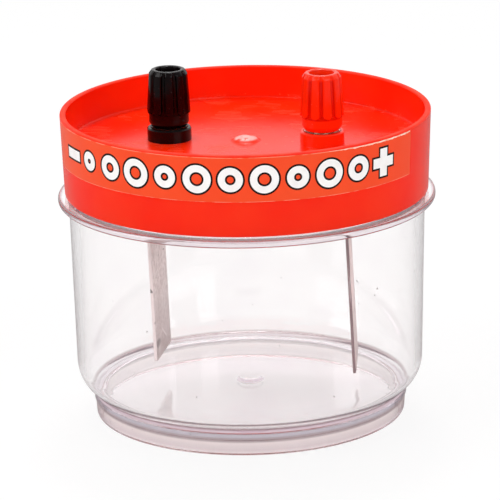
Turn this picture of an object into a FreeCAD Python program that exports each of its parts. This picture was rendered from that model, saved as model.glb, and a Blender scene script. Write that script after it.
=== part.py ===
"""A simple classroom electrolysis cell: a clear moulded jar, a red lid with a deep tray, two binding posts on the
lid and a flat metal electrode hanging under each post.

Millimetres. The origin is the middle of the jar's foot, +Z is up, the posts stand along X with the black one at
-X, and the label is centred on -Y.
"""

import FreeCAD, Part
import math
import os
import re

import Sketcher

os.makedirs("parts", exist_ok=True)
doc = FreeCAD.newDocument("electrolysis_cell")

# Driving sizes. Heights with no other word are measured up from the jar's foot.
SIZES = [
    ("jar_radius", 48.4, "outside of the jar's wall, just under the flange"),
    ("jar_draft", 1.0, "how much smaller that radius is at the rounded lower corner"),
    ("jar_wall", 2.1, "thickness of the jar's wall"),
    ("jar_shoulder_height", 61.6, "top of the flange that the skirt of the lid comes down to"),
    ("flange_width", 3.8, "how far the flange stands out past the neck"),
    ("flange_thickness", 1.8, "thickness of the flange"),
    ("flange_bevel", 0.5, "bevel on the flange's two edges"),
    ("edge_break", 0.3, "bevel on the jar's and the collars' small edges"),
    ("neck_step", 0.9, "how much smaller the neck is than the wall below it"),
    ("neck_wall", 1.6, "thickness of the neck"),
    ("corner_height", 15.5, "height at which the rounded lower corner runs into the wall"),
    ("foot_step", 4.5, "how far the foot ring is set in from the wall above the corner"),
    ("foot_height", 5.2, "height of the foot ring outside"),
    ("foot_ledge", 1.2, "flat underside of the corner, between its curve and the foot ring"),
    ("foot_draft", 0.5, "how much smaller the ring is where it stands"),
    ("foot_ring_wall", 2.4, "width of the face that the ring stands on"),
    ("floor_height", 8.1, "inside of the jar's floor"),
    ("floor_thickness", 2.4, "thickness of the jar's floor"),
    ("inner_corner", 7.2, "rounding between the floor and the wall, inside"),
    ("jar_gate_radius", 3.7, "round moulding mark in the middle of the floor"),
    ("jar_gate_height", 0.7, "height of that mark"),
    ("lid_neck_clearance", 0.3, "gap round the neck inside the skirt"),
    ("lid_wall", 1.6, "thickness of the skirt and of the tray's wall"),
    ("lid_height", 22.1, "height of the lid from the skirt's edge to the rim"),
    ("lid_flare", 0.8, "how much wider the rim is than the skirt's edge"),
    ("lid_floor", 1.8, "thickness of the lid's floor"),
    ("tray_depth", 9.1, "depth of the tray below the rim"),
    ("tray_corner", 0.8, "bevel between the tray's floor and wall"),
    ("rim_bevel", 0.45, "bevel on the rim's two edges"),
    ("skirt_gap", 0.8, "gap between the skirt and the flange when the lid is on"),
    ("lid_seat_gap", 0.3, "gap between the neck's edge and the lid's floor"),
    ("lid_gate_radius", 4.0, "domed moulding mark in the middle of the tray"),
    ("lid_gate_height", 1.5, "height of that dome"),
    ("label_height", 12.0, "height of the label"),
    ("label_drop", 0.5, "distance from the rim down to the label"),
    ("label_angle", 140.0, "angle of the lid that the label covers, in degrees"),
    ("label_thickness", 0.15, "thickness of the label"),
    ("label_glue", 0.02, "film of glue behind the label"),
    ("post_spacing", 42.0, "distance between the two posts"),
    ("base_radius", 6.0, "collar that each post stands on"),
    ("base_height", 3.5, "height of that collar above the tray's floor"),
    ("spigot_radius", 3.9, "spigots of collar and bush that line the hole in the lid"),
    ("spigot_hole_clearance", 0.1, "gap round the spigots in the lid's hole"),
    ("spigot_gap", 0.1, "gap between the two spigots' ends"),
    ("clamp_washer_radius", 4.8, "metal washer let into the top of the collar"),
    ("clamp_washer_thickness", 0.6, "thickness of that washer"),
    ("washer_recess_clearance", 0.1, "gap round the washer in its recess"),
    ("stud_radius", 3.0, "threaded stud above the washer"),
    ("shank_radius", 2.0, "threaded shank of the stud below its shoulder"),
    ("shank_clearance", 0.1, "gap round the shank in the pieces stacked on it"),
    ("socket_radius", 2.05, "4 mm plug socket in the stud"),
    ("socket_web", 0.95, "metal left between the socket's end and the wire hole"),
    ("drill_slope", 31.0, "slope of the socket's drilled end, in degrees"),
    ("wire_hole_radius", 1.0, "cross hole for a bare wire"),
    ("wire_hole_height", 1.4, "middle of that hole above the washer"),
    ("stud_tail", 1.3, "length of thread below the last nut"),
    ("stud_sink", 2.2, "how deep the stud's end lies in the cap's mouth"),
    ("stud_chamfer", 0.3, "broken edges of the stud"),
    ("cap_gap", 0.35, "gap between cap and washer with the cap screwed down"),
    ("cap_height", 15.7, "height of the cap"),
    ("cap_lip_radius", 4.7, "bottom of the cap"),
    ("cap_lip_height", 1.2, "height of the cone between that and the plain collar"),
    ("cap_collar_radius", 5.5, "plain collar of the cap"),
    ("cap_collar_height", 3.8, "height at which the flutes start"),
    ("cap_skirt_radius", 5.9, "fluted part at its lower end"),
    ("cap_taper", 0.7, "how much smaller it is at the shoulder"),
    ("cap_shoulder_height", 1.1, "height of the bevel between the flutes and the top ring"),
    ("cap_ring_radius", 4.4, "top ring round the mouth"),
    ("cap_mouth_clearance", 0.35, "gap between the stud and the cap's mouth"),
    ("flute_count", 10, "number of petals on the cap"),
    ("flute_width", 0.9, "width of the groove between two petals"),
    ("flute_depth", 0.55, "depth of that groove"),
    ("petal_corner", 1.1, "rounding of each petal's lower corners"),
    ("thread_clearance", 0.05, "gap between the stud and the insert's thread"),
    ("insert_wall", 0.95, "wall of the metal insert in the cap"),
    ("insert_length", 8.5, "length of the insert"),
    ("insert_clearance", 0.05, "gap round the insert"),
    ("bush_thickness", 2.0, "insulating bush under the lid"),
    ("flat_washer_radius", 4.5, "washer under the bush"),
    ("flat_washer_thickness", 0.8, "thickness of that washer"),
    ("nut_width", 7.0, "nut across its flats"),
    ("nut_height", 3.2, "height of the nut"),
    ("nut_bevel", 30.0, "slope of the nut's turned corners, in degrees"),
    ("nut_clearance", 0.03, "gap between the nut's thread and the shank"),
    ("lock_washer_radius", 3.5, "split washer under the electrode's tab"),
    ("lock_washer_thickness", 0.9, "thickness of that washer"),
    ("lock_washer_slit", 0.7, "width of its slit"),
    ("electrode_width", 19.0, "width of the electrode strip"),
    ("electrode_thickness", 0.8, "thickness of the strip"),
    ("electrode_tab_inside", 6.0, "length of the tab past the stud towards the middle"),
    ("electrode_bend", 1.0, "inside radius of the bend"),
    ("electrode_corner", 0.6, "rounding of the strip's lower corners"),
    ("black_reach", 5.5, "from the black stud to the outside of its electrode"),
    ("red_reach", 6.3, "from the red stud to the outside of its electrode"),
    ("black_lean", -1.9, "degrees that the black electrode leans outward, bent by hand"),
    ("red_lean", 2.5, "degrees that the red electrode leans outward, bent by hand"),
    ("red_turn", 5.5, "degrees that the red electrode is turned about its stud, clamped by hand"),
    ("black_floor_gap", 7.1, "from the jar's floor up to the black electrode"),
    ("red_floor_gap", 5.2, "from the jar's floor up to the red electrode"),
    ("black_flute_turn", 31.0, "degrees by which the black cap is turned"),
    ("red_flute_turn", 7.0, "degrees by which the red cap is turned"),
]

sheet = doc.addObject("Spreadsheet::Sheet", "Sizes")
for row, (alias, number, meaning) in enumerate(SIZES, start=1):
    sheet.set(f"A{row}", meaning)
    sheet.set(f"B{row}", str(number))
    sheet.setAlias(f"B{row}", alias)
doc.recompute()
NAMES = {alias for alias, number, meaning in SIZES}

# Places that several pieces share, each worked out from the sizes above.
NECK_RADIUS = "(jar_radius - neck_step)"
CORNER_RADIUS = "(jar_radius - jar_draft)"
FOOT_RADIUS = f"({CORNER_RADIUS} - foot_step)"
SKIRT_INSIDE = f"({NECK_RADIUS} + lid_neck_clearance)"
SKIRT_OUTSIDE = f"({SKIRT_INSIDE} + lid_wall)"
RIM_OUTSIDE = f"({SKIRT_OUTSIDE} + lid_flare)"
LID_BOTTOM = "(jar_shoulder_height + skirt_gap)"
LID_TOP = f"({LID_BOTTOM} + lid_height)"
TRAY_FLOOR = f"({LID_TOP} - tray_depth)"
LID_UNDERSIDE = f"({TRAY_FLOOR} - lid_floor)"
NECK_TOP = f"({LID_UNDERSIDE} - lid_seat_gap)"
BASE_TOP = f"({TRAY_FLOOR} + base_height)"
CAP_BOTTOM = f"({BASE_TOP} + cap_gap)"
BUSH_BOTTOM = f"({LID_UNDERSIDE} - bush_thickness)"
FLAT_WASHER_BOTTOM = f"({BUSH_BOTTOM} - flat_washer_thickness)"
PANEL_NUT_BOTTOM = f"({FLAT_WASHER_BOTTOM} - nut_height)"
TAB_BOTTOM = f"({PANEL_NUT_BOTTOM} - electrode_thickness)"
LOCK_WASHER_BOTTOM = f"({TAB_BOTTOM} - lock_washer_thickness)"
ELECTRODE_NUT_BOTTOM = f"({LOCK_WASHER_BOTTOM} - nut_height)"
STUD_BOTTOM = f"({ELECTRODE_NUT_BOTTOM} - stud_tail)"
SHANK_HOLE = "(shank_radius + shank_clearance)"
SPIGOT_LENGTH = "((lid_floor - spigot_gap) / 2)"
INSERT_INSIDE = "(stud_radius + thread_clearance)"
INSERT_OUTSIDE = f"({INSERT_INSIDE} + insert_wall)"


def bound(text):
    """The expression with each size's name pointed at the sheet."""
    return re.sub(r"[a-z_]+", lambda word: "Sizes." + word[0] if word[0] in NAMES else word[0], text)


def value(text):
    """What an expression comes to now, as a plain number."""
    return float(sheet.evalExpression(bound(text)))


def new_body(label):
    body = doc.addObject("PartDesign::Body", label)
    body.Label = label
    return body


def origin_plane(body, role):
    return next(item for item in body.Origin.OriginFeatures if item.Role == role)


def new_sketch(body, name, role):
    sketch = body.newObject("Sketcher::SketchObject", f"{body.Name}_{name}")
    sketch.AttachmentSupport = [(origin_plane(body, role), "")]
    sketch.MapMode = "FlatFace"
    return sketch


def hold(sketch, kind, where, name, expression):
    """Adds a dimension to the sketch and binds it to the sizes."""
    number = sketch.addConstraint(Sketcher.Constraint(kind, *where, value(expression)))
    sketch.renameConstraint(number, name)
    sketch.setExpression(f"Constraints.{name}", bound(expression))


def arc_between(start, end, radius):
    """The short arc from start to end that bulges to the right of that direction, or to the left of it with a
    negative radius. Returns the arc, and which of its ends is the start: arcs run anticlockwise."""
    chord = end - start
    middle = (start + end) * 0.5
    left = FreeCAD.Vector(-chord.y, chord.x, 0).normalize()
    rise = math.sqrt(radius**2 - (chord.Length / 2) ** 2)
    centre = middle + left * math.copysign(rise, radius)
    circle = Part.Circle(centre, FreeCAD.Vector(0, 0, 1), abs(radius))
    first, last = (start, end) if radius > 0 else (end, start)
    arc = Part.ArcOfCircle(circle, circle.parameter(first), circle.parameter(last))
    return arc, (1, 2) if radius > 0 else (2, 1)


def outline(body, name, role, corners):
    """A closed sketch on one of the body's own planes. Each corner is (across, up), and a third entry is the
    radius of the arc from that corner to the next."""
    sketch = new_sketch(body, name, role)
    points = [FreeCAD.Vector(value(corner[0]), value(corner[1]), 0) for corner in corners]
    sides = []
    for index, corner in enumerate(corners):
        start, end = points[index], points[(index + 1) % len(points)]
        if len(corner) == 3:
            side, ends = arc_between(start, end, value(corner[2]))
        else:
            side, ends = Part.LineSegment(start, end), (1, 2)
        sides.append((sketch.addGeometry(side), *ends))
    for index, corner in enumerate(corners):
        geometry, start, end = sides[index]
        following, following_start = sides[(index + 1) % len(sides)][:2]
        sketch.addConstraint(Sketcher.Constraint("Coincident", geometry, end, following, following_start))
        hold_point(sketch, geometry, start, index, corner)
        if len(corner) == 3:
            size = corner[2].lstrip("-")
            hold(sketch, "Radius", (geometry,), f"radius_{index}", size)
    return sketch


def hold_point(sketch, geometry, end, index, corner):
    """Holds one corner at its two distances from the body's origin."""
    for kind, axis, expression in (("DistanceX", -2, corner[0]), ("DistanceY", -1, corner[1])):
        if expression == "0":
            sketch.addConstraint(Sketcher.Constraint("PointOnObject", geometry, end, axis))
        else:
            hold(sketch, kind, (-1, 1, geometry, end), f"{kind}_{index}", expression)


def circles(body, name, role, holes):
    """A sketch of circles, each (across, up, radius)."""
    sketch = new_sketch(body, name, role)
    for index, (across, up, radius) in enumerate(holes):
        centre = FreeCAD.Vector(value(across), value(up), 0)
        circle = Part.Circle(centre, FreeCAD.Vector(0, 0, 1), value(radius))
        geometry = sketch.addGeometry(circle)
        hold_point(sketch, geometry, 3, index, (across, up))
        hold(sketch, "Radius", (geometry,), f"radius_{index}", radius)
    return sketch


def turned(body, name, corners, cut=False):
    """A profile of (radius, height) corners turned about the body's Z axis, added to it or cut from it."""
    sketch = outline(body, name + "_profile", "XZ_Plane", corners)
    kind = "PartDesign::Groove" if cut else "PartDesign::Revolution"
    feature = body.newObject(kind, f"{body.Name}_{name}")
    feature.Profile = sketch
    feature.ReferenceAxis = (sketch, ["V_Axis"])
    feature.Angle = 360
    doc.recompute()
    return feature


def pocketed(body, name, sketch, both_ways=True):
    """A hole of the sketch's outline, through everything in its way."""
    volume = body.Shape.Volume
    pocket = body.newObject("PartDesign::Pocket", f"{body.Name}_{name}")
    pocket.Profile = sketch
    pocket.Type = "ThroughAll"
    pocket.Midplane = both_ways
    doc.recompute()
    if not body.Shape.Volume < volume:
        raise RuntimeError(f"{body.Label}: {name} cuts nothing")
    return pocket


def patterned(body, name, feature, axis_sketch, count):
    """Copies of a feature all the way round the body's Z axis."""
    pattern = body.newObject("PartDesign::PolarPattern", f"{body.Name}_{name}")
    pattern.Originals = [feature]
    pattern.Axis = (axis_sketch, ["V_Axis"])
    pattern.Angle = 360
    pattern.setExpression("Occurrences", bound(count))
    body.Tip = pattern
    doc.recompute()
    return pattern


def round_edges(body, places):
    """Names of the body's whole-circle edges that have these (radius, height)."""
    names = []
    for number, edge in enumerate(body.Shape.Edges, start=1):
        curve = edge.Curve
        if not isinstance(curve, Part.Circle):
            continue
        for radius, height in places:
            if abs(curve.Radius - value(radius)) < 1e-4 and abs(curve.Center.z - value(height)) < 1e-4:
                names.append(f"Edge{number}")
    return names


def dressed(body, name, kind, edges, size):
    """A Fillet of that radius, or a Chamfer of that size, on the body's edges."""
    if not edges:
        raise RuntimeError(f"{body.Label}: {name} finds no edge")
    before = body.Tip
    feature = body.newObject(f"PartDesign::{kind}", f"{body.Name}_{name}")
    feature.Base = (before, edges)
    feature.setExpression("Radius" if kind == "Fillet" else "Size", bound(size))
    doc.recompute()


def place(body, across="0", up="0", turn="0"):
    """Stands the body on its place in the assembly, turned about its own upright axis."""
    body.Placement = FreeCAD.Placement(FreeCAD.Vector(), FreeCAD.Rotation(FreeCAD.Vector(0, 0, 1), 0))
    body.setExpression("Placement.Base.x", bound(across))
    body.setExpression("Placement.Base.z", bound(up))
    body.setExpression("Placement.Rotation.Angle", bound(turn))
    doc.recompute()


def make_jar():
    """One moulding: foot ring, rounded lower corner with a ledge, slightly tapered wall, flange and plain neck."""
    body = new_body("jar")
    wall_foot = f"({CORNER_RADIUS} - jar_wall)"
    mouth = f"({NECK_RADIUS} - neck_wall)"
    flange_bottom = "(jar_shoulder_height - flange_thickness)"
    flange_radius = f"({NECK_RADIUS} + flange_width)"
    corner_rise = "(corner_height - foot_height)"
    corner_reach = "(foot_step - foot_ledge)"
    corner_arc = f"({corner_reach} ^ 2 + {corner_rise} ^ 2) / (2 * {corner_reach})"
    ring_inside = f"({FOOT_RADIUS} - foot_draft - foot_ring_wall)"
    under_floor = "(floor_height - floor_thickness)"
    turned(
        body,
        "shell",
        [
            ("0", "floor_height"),
            ("0", under_floor),
            (ring_inside, under_floor),
            (ring_inside, "0"),
            (f"{FOOT_RADIUS} - foot_draft", "0"),
            (FOOT_RADIUS, "foot_height"),
            (f"{FOOT_RADIUS} + foot_ledge", "foot_height", corner_arc),
            (CORNER_RADIUS, "corner_height"),
            ("jar_radius", flange_bottom),
            (flange_radius, flange_bottom),
            (flange_radius, "jar_shoulder_height"),
            (NECK_RADIUS, "jar_shoulder_height"),
            (NECK_RADIUS, NECK_TOP),
            (mouth, NECK_TOP),
            (wall_foot, "floor_height"),
        ],
    )
    dressed(body, "inner_corner", "Fillet", round_edges(body, [(wall_foot, "floor_height")]), "inner_corner")
    flange_edges = round_edges(body, [(flange_radius, flange_bottom), (flange_radius, "jar_shoulder_height")])
    dressed(body, "flange_edges", "Chamfer", flange_edges, "flange_bevel")
    small = [
        (NECK_RADIUS, NECK_TOP),
        (mouth, NECK_TOP),
        (f"{FOOT_RADIUS} - foot_draft", "0"),
        (ring_inside, "0"),
    ]
    dressed(body, "small_edges", "Chamfer", round_edges(body, small), "edge_break")
    turned(
        body,
        "gate",
        [
            ("0", f"{under_floor} + floor_thickness / 2"),
            ("jar_gate_radius", f"{under_floor} + floor_thickness / 2"),
            ("jar_gate_radius", "floor_height"),
            ("jar_gate_radius - jar_gate_height", "floor_height + jar_gate_height"),
            ("0", "floor_height + jar_gate_height"),
        ],
    )
    return body


def make_lid():
    """One moulding: skirt below, tray above, a floor between them, two holes for the posts and the gate mark."""
    body = new_body("lid")
    lean = "(lid_flare / lid_height)"
    inside_floor = f"({SKIRT_INSIDE} + {lean} * ({LID_UNDERSIDE} - {LID_BOTTOM}))"
    tray_radius = f"({RIM_OUTSIDE} - lid_wall - {lean} * tray_depth)"
    turned(
        body,
        "shell",
        [
            ("0", TRAY_FLOOR),
            ("0", LID_UNDERSIDE),
            (inside_floor, LID_UNDERSIDE),
            (SKIRT_INSIDE, LID_BOTTOM),
            (SKIRT_OUTSIDE, LID_BOTTOM),
            (RIM_OUTSIDE, LID_TOP),
            (f"{RIM_OUTSIDE} - lid_wall", LID_TOP),
            (tray_radius, TRAY_FLOOR),
        ],
    )
    dressed(body, "tray_corner", "Chamfer", round_edges(body, [(tray_radius, TRAY_FLOOR)]), "tray_corner")
    rim = round_edges(body, [(RIM_OUTSIDE, LID_TOP), (f"{RIM_OUTSIDE} - lid_wall", LID_TOP)])
    dressed(body, "rim", "Chamfer", rim, "rim_bevel")
    sunk = f"({TRAY_FLOOR} - lid_floor / 2)"
    dome_rise = "(lid_gate_height + lid_floor / 2)"
    dome_arc = "(lid_gate_radius ^ 2 + lid_gate_height ^ 2) / (2 * lid_gate_height)"
    turned(
        body,
        "gate",
        [
            ("0", sunk),
            ("lid_gate_radius", sunk),
            ("lid_gate_radius", TRAY_FLOOR, dome_arc),
            ("0", f"{sunk} + {dome_rise}"),
        ],
    )
    hole = "spigot_radius + spigot_hole_clearance"
    holes = circles(
        body, "post_holes", "XY_Plane", [("-post_spacing / 2", "0", hole), ("post_spacing / 2", "0", hole)]
    )
    pocketed(body, "post_hole_pocket", holes)
    return body


def make_label():
    """The strip round the front of the lid, which follows the slope of its wall."""
    body = new_body("label")
    lean = "(lid_flare / lid_height)"
    top = f"({LID_TOP} - label_drop)"
    bottom = f"({top} - label_height)"
    top_radius = f"({RIM_OUTSIDE} - {lean} * label_drop + label_glue)"
    bottom_radius = f"({top_radius} - {lean} * label_height)"
    sketch = outline(
        body,
        "strip_profile",
        "XZ_Plane",
        [
            (bottom_radius, bottom),
            (f"{bottom_radius} + label_thickness", bottom),
            (f"{top_radius} + label_thickness", top),
            (top_radius, top),
        ],
    )
    strip = body.newObject("PartDesign::Revolution", "label_strip")
    strip.Profile = sketch
    strip.ReferenceAxis = (sketch, ["V_Axis"])
    strip.setExpression("Angle", bound("label_angle"))
    strip.Midplane = True
    doc.recompute()
    place(body, turn="-90")
    return body


def make_post_base(colour, across):
    """The insulating collar: a recess on top for the washer, and a spigot into the lid's hole."""
    body = new_body(f"{colour}_post_base")
    recess = "(clamp_washer_radius + washer_recess_clearance)"
    turned(
        body,
        "collar",
        [
            (SHANK_HOLE, f"-{SPIGOT_LENGTH}"),
            ("spigot_radius", f"-{SPIGOT_LENGTH}"),
            ("spigot_radius", "0"),
            ("base_radius", "0"),
            ("base_radius", "base_height"),
            (recess, "base_height"),
            (recess, "base_height - clamp_washer_thickness"),
            (SHANK_HOLE, "base_height - clamp_washer_thickness"),
        ],
    )
    edges = round_edges(body, [("base_radius", "base_height"), (recess, "base_height")])
    dressed(body, "edges", "Chamfer", edges, "edge_break")
    place(body, across, TRAY_FLOOR)
    return body


def make_ring(label, across, up, inside, outside, thickness):
    """A plain washer."""
    body = new_body(label)
    turned(body, "ring", [(inside, "0"), (outside, "0"), (outside, thickness), (inside, thickness)])
    place(body, across, up)
    return body


def make_stud(colour, across):
    """The metal core: a thin shank through the lid, a shoulder on the washer, and the socket and wire hole above."""
    body = new_body(f"{colour}_stud")
    tail = f"({STUD_BOTTOM} - {BASE_TOP})"
    top = "(cap_gap + cap_height - stud_sink)"
    socket_end = "(wire_hole_height + wire_hole_radius + socket_web)"
    turned(
        body,
        "core",
        [
            ("0", tail),
            ("shank_radius - stud_chamfer", tail),
            ("shank_radius", f"{tail} + stud_chamfer"),
            ("shank_radius", "0"),
            ("stud_radius", "0"),
            ("stud_radius", f"{top} - stud_chamfer"),
            ("stud_radius - stud_chamfer", top),
            ("0", top),
        ],
    )
    turned(
        body,
        "socket",
        [
            ("0", socket_end),
            ("socket_radius", f"{socket_end} + socket_radius * tan(drill_slope * 1deg)"),
            ("socket_radius", f"{top} + stud_chamfer"),
            ("0", f"{top} + stud_chamfer"),
        ],
        cut=True,
    )
    hole = circles(body, "wire_hole", "XZ_Plane", [("0", "wire_hole_height", "wire_hole_radius")])
    pocketed(body, "wire_hole_pocket", hole)
    place(body, across, BASE_TOP)
    return body


def make_cap(colour, across):
    """The fluted thumb cap. A tapered ring is cut into petals, then the core is added inside them, so that the
    grooves keep one depth and every petal ends in rounded corners above the plain collar."""
    body = new_body(f"{colour}_cap")
    shoulder = "(cap_height - cap_shoulder_height)"
    petal_top = "(cap_skirt_radius - cap_taper)"
    mouth = "(stud_radius + cap_mouth_clearance)"
    seat = f"({INSERT_OUTSIDE} + insert_clearance)"
    seat_end = "(insert_length + insert_clearance)"
    turned(
        body,
        "petal_ring",
        [
            (seat, "cap_collar_height"),
            ("cap_skirt_radius", "cap_collar_height"),
            (petal_top, shoulder),
            ("cap_ring_radius", "cap_height"),
            (seat, "cap_height"),
        ],
    )
    half = "flute_width / 2"
    flare = f"({half} + petal_corner)"
    above = "(cap_height + petal_corner)"
    below = "(cap_collar_height - petal_corner)"
    bend = "(cap_collar_height + petal_corner)"
    groove = outline(
        body,
        "groove",
        "XZ_Plane",
        [
            (half, above),
            (f"-{half}", above),
            (f"-{half}", bend, "-petal_corner"),
            (f"-{flare}", "cap_collar_height"),
            (f"-{flare}", below),
            (flare, below),
            (flare, "cap_collar_height", "-petal_corner"),
            (half, bend),
        ],
    )
    flute = pocketed(body, "flute", groove, both_ways=False)
    patterned(body, "flutes", flute, groove, "flute_count")
    turned(
        body,
        "core",
        [
            (seat, "0"),
            ("cap_lip_radius", "0"),
            ("cap_collar_radius", "cap_lip_height"),
            ("cap_collar_radius", "cap_collar_height"),
            ("cap_skirt_radius - flute_depth", "cap_collar_height"),
            (f"{petal_top} - flute_depth", shoulder),
            ("cap_ring_radius", "cap_height"),
            (mouth, "cap_height"),
            (mouth, seat_end),
            (seat, seat_end),
        ],
    )
    place(body, across, CAP_BOTTOM, f"{colour}_flute_turn")
    return body


def make_bush(colour, across):
    """The insulating bush under the lid, with its spigot up into the hole."""
    body = new_body(f"{colour}_under_bush")
    turned(
        body,
        "bush",
        [
            (SHANK_HOLE, "0"),
            ("base_radius", "0"),
            ("base_radius", "bush_thickness"),
            ("spigot_radius", "bush_thickness"),
            ("spigot_radius", f"bush_thickness + {SPIGOT_LENGTH}"),
            (SHANK_HOLE, f"bush_thickness + {SPIGOT_LENGTH}"),
        ],
    )
    place(body, across, BUSH_BOTTOM)
    return body


def make_nut(label, across, up):
    """A hexagon nut with its corners turned off at both ends."""
    body = new_body(label)
    flat = "(nut_width / 2)"
    point = f"({flat} / cos(30deg))"
    half_side = f"({flat} * tan(30deg))"
    hexagon = outline(
        body,
        "hexagon",
        "XY_Plane",
        [
            (point, "0"),
            (half_side, flat),
            (f"-{half_side}", flat),
            (f"-{point}", "0"),
            (f"-{half_side}", f"-{flat}"),
            (half_side, f"-{flat}"),
        ],
    )
    pad = body.newObject("PartDesign::Pad", f"{body.Name}_pad")
    pad.Profile = hexagon
    pad.setExpression("Length", bound("nut_height"))
    doc.recompute()
    bevel = f"(nut_width - {flat}) * tan(nut_bevel * 1deg)"
    lower = [(flat, "0"), ("nut_width", "0"), ("nut_width", bevel)]
    upper = [(flat, "nut_height"), ("nut_width", f"nut_height - {bevel}"), ("nut_width", "nut_height")]
    turned(body, "lower_bevel", lower, cut=True)
    turned(body, "upper_bevel", upper, cut=True)
    bore = circles(body, "bore", "XY_Plane", [("0", "0", "shank_radius + nut_clearance")])
    pocketed(body, "bore_pocket", bore)
    place(body, across, up)
    return body


def make_lock_washer(colour, across):
    """A split spring washer, squeezed flat."""
    body = new_body(f"{colour}_lock_washer")
    turned(
        body,
        "ring",
        [
            (SHANK_HOLE, "0"),
            ("lock_washer_radius", "0"),
            ("lock_washer_radius", "lock_washer_thickness"),
            (SHANK_HOLE, "lock_washer_thickness"),
        ],
    )
    slant = "lock_washer_thickness / 2"
    slit = outline(
        body,
        "slit",
        "XZ_Plane",
        [
            (f"-lock_washer_slit / 2 - {slant}", "-lock_washer_slit"),
            (f"lock_washer_slit / 2 - {slant}", "-lock_washer_slit"),
            (f"lock_washer_slit / 2 + {slant}", "lock_washer_thickness + lock_washer_slit"),
            (f"-lock_washer_slit / 2 + {slant}", "lock_washer_thickness + lock_washer_slit"),
        ],
    )
    pocketed(body, "slit_pocket", slit, both_ways=False)
    place(body, across, LOCK_WASHER_BOTTOM)
    return body


def edges_where(body, test):
    """Names of the body's edges whose box of bounds passes the test."""
    return [f"Edge{number}" for number, edge in enumerate(body.Shape.Edges, start=1) if test(edge.BoundBox)]


def spans_strip(box):
    return box.YLength > value("electrode_width") - 1e-3 and box.XLength < 1e-6


def make_electrode(colour, across, turn):
    """A flat strip, drilled and bent once: the tab is clamped on the stud, and the blade hangs in the jar."""
    body = new_body(f"{colour}_electrode")
    reach = f"{colour}_reach"
    drop = f"({TAB_BOTTOM} - floor_height - {colour}_floor_gap)"
    drift = f"{drop} * tan({colour}_lean * 1deg)"
    slant = f"electrode_thickness / cos({colour}_lean * 1deg)"
    shift = f"(electrode_thickness * tan({colour}_lean * 1deg))"
    section = outline(
        body,
        "section",
        "XZ_Plane",
        [
            ("-electrode_tab_inside", "0"),
            (f"{reach} - {slant}", "0"),
            (f"{reach} - {slant} + {drift}", f"-{drop}"),
            (f"{reach} + {drift}", f"-{drop}"),
            (f"{reach} - {shift}", "electrode_thickness"),
            ("-electrode_tab_inside", "electrode_thickness"),
        ],
    )
    pad = body.newObject("PartDesign::Pad", f"{body.Name}_strip")
    pad.Profile = section
    pad.setExpression("Length", bound("electrode_width"))
    pad.Midplane = True
    doc.recompute()
    inner = edges_where(body, lambda box: spans_strip(box) and box.XMin > 0 and abs(box.ZMin) < 1e-6)
    dressed(body, "inner_bend", "Fillet", inner, "electrode_bend")
    top = value("electrode_thickness")
    outer = edges_where(body, lambda box: spans_strip(box) and box.XMin > 0 and abs(box.ZMin - top) < 1e-6)
    dressed(body, "outer_bend", "Fillet", outer, "electrode_bend + electrode_thickness")
    bottom = value(f"-{drop}")
    lower = edges_where(body, lambda box: box.YLength < 1e-6 and abs(box.ZMin - bottom) + box.ZLength < 1e-6)
    dressed(body, "corners", "Fillet", lower, "electrode_corner")
    hole = circles(body, "hole", "XY_Plane", [("0", "0", SHANK_HOLE)])
    pocketed(body, "hole_pocket", hole)
    place(body, across, TAB_BOTTOM, turn)
    return body


make_jar()
make_lid()
make_label()
for colour, side, turn in (("black", "-", "180"), ("red", "", "red_turn")):
    middle = f"{side}post_spacing / 2"
    make_post_base(colour, middle)
    make_ring(
        f"{colour}_clamp_washer",
        middle,
        f"{BASE_TOP} - clamp_washer_thickness",
        SHANK_HOLE,
        "clamp_washer_radius",
        "clamp_washer_thickness",
    )
    make_stud(colour, middle)
    make_ring(f"{colour}_cap_insert", middle, CAP_BOTTOM, INSERT_INSIDE, INSERT_OUTSIDE, "insert_length")
    make_cap(colour, middle)
    make_bush(colour, middle)
    make_ring(
        f"{colour}_flat_washer",
        middle,
        FLAT_WASHER_BOTTOM,
        SHANK_HOLE,
        "flat_washer_radius",
        "flat_washer_thickness",
    )
    make_nut(f"{colour}_panel_nut", middle, PANEL_NUT_BOTTOM)
    make_electrode(colour, middle, turn)
    make_lock_washer(colour, middle)
    make_nut(f"{colour}_electrode_nut", middle, ELECTRODE_NUT_BOTTOM)

doc.recompute()
for item in doc.Objects:
    if "Invalid" in item.State or "Error" in item.State:
        raise RuntimeError(f"{item.Label} failed: {item.State}")
bodies = [item for item in doc.Objects if item.isDerivedFrom("PartDesign::Body")]
for body in bodies:
    shape = body.Shape
    if shape.isNull() or not shape.isValid() or len(shape.Solids) != 1:
        raise RuntimeError(f"{body.Label} is not one valid solid")
for body in bodies:
    body.Shape.exportStep(f"parts/{body.Label}.step")
    box = body.Shape.BoundBox
    print(
        f"{body.Label}: volume {body.Shape.Volume:.1f}, x {box.XMin:.2f} to {box.XMax:.2f}, "
        f"y {box.YMin:.2f} to {box.YMax:.2f}, z {box.ZMin:.2f} to {box.ZMax:.2f}"
    )
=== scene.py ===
# %% [markdown]
# # A simple electrolysis cell
# The real object is a classroom cell: a clear moulded jar, a red lid with a deep tray, two binding
# posts on the lid and a flat metal electrode hanging under each post. The solid model already has
# every piece at its real size, so this lesson only dresses it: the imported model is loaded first,
# and whatever is added later is set against it. Lengths below are written in millimetres where a
# maker would, and multiplied by MM.

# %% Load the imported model
import math
import random

import bmesh
import bpy
from mathutils import Matrix, Vector


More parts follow.
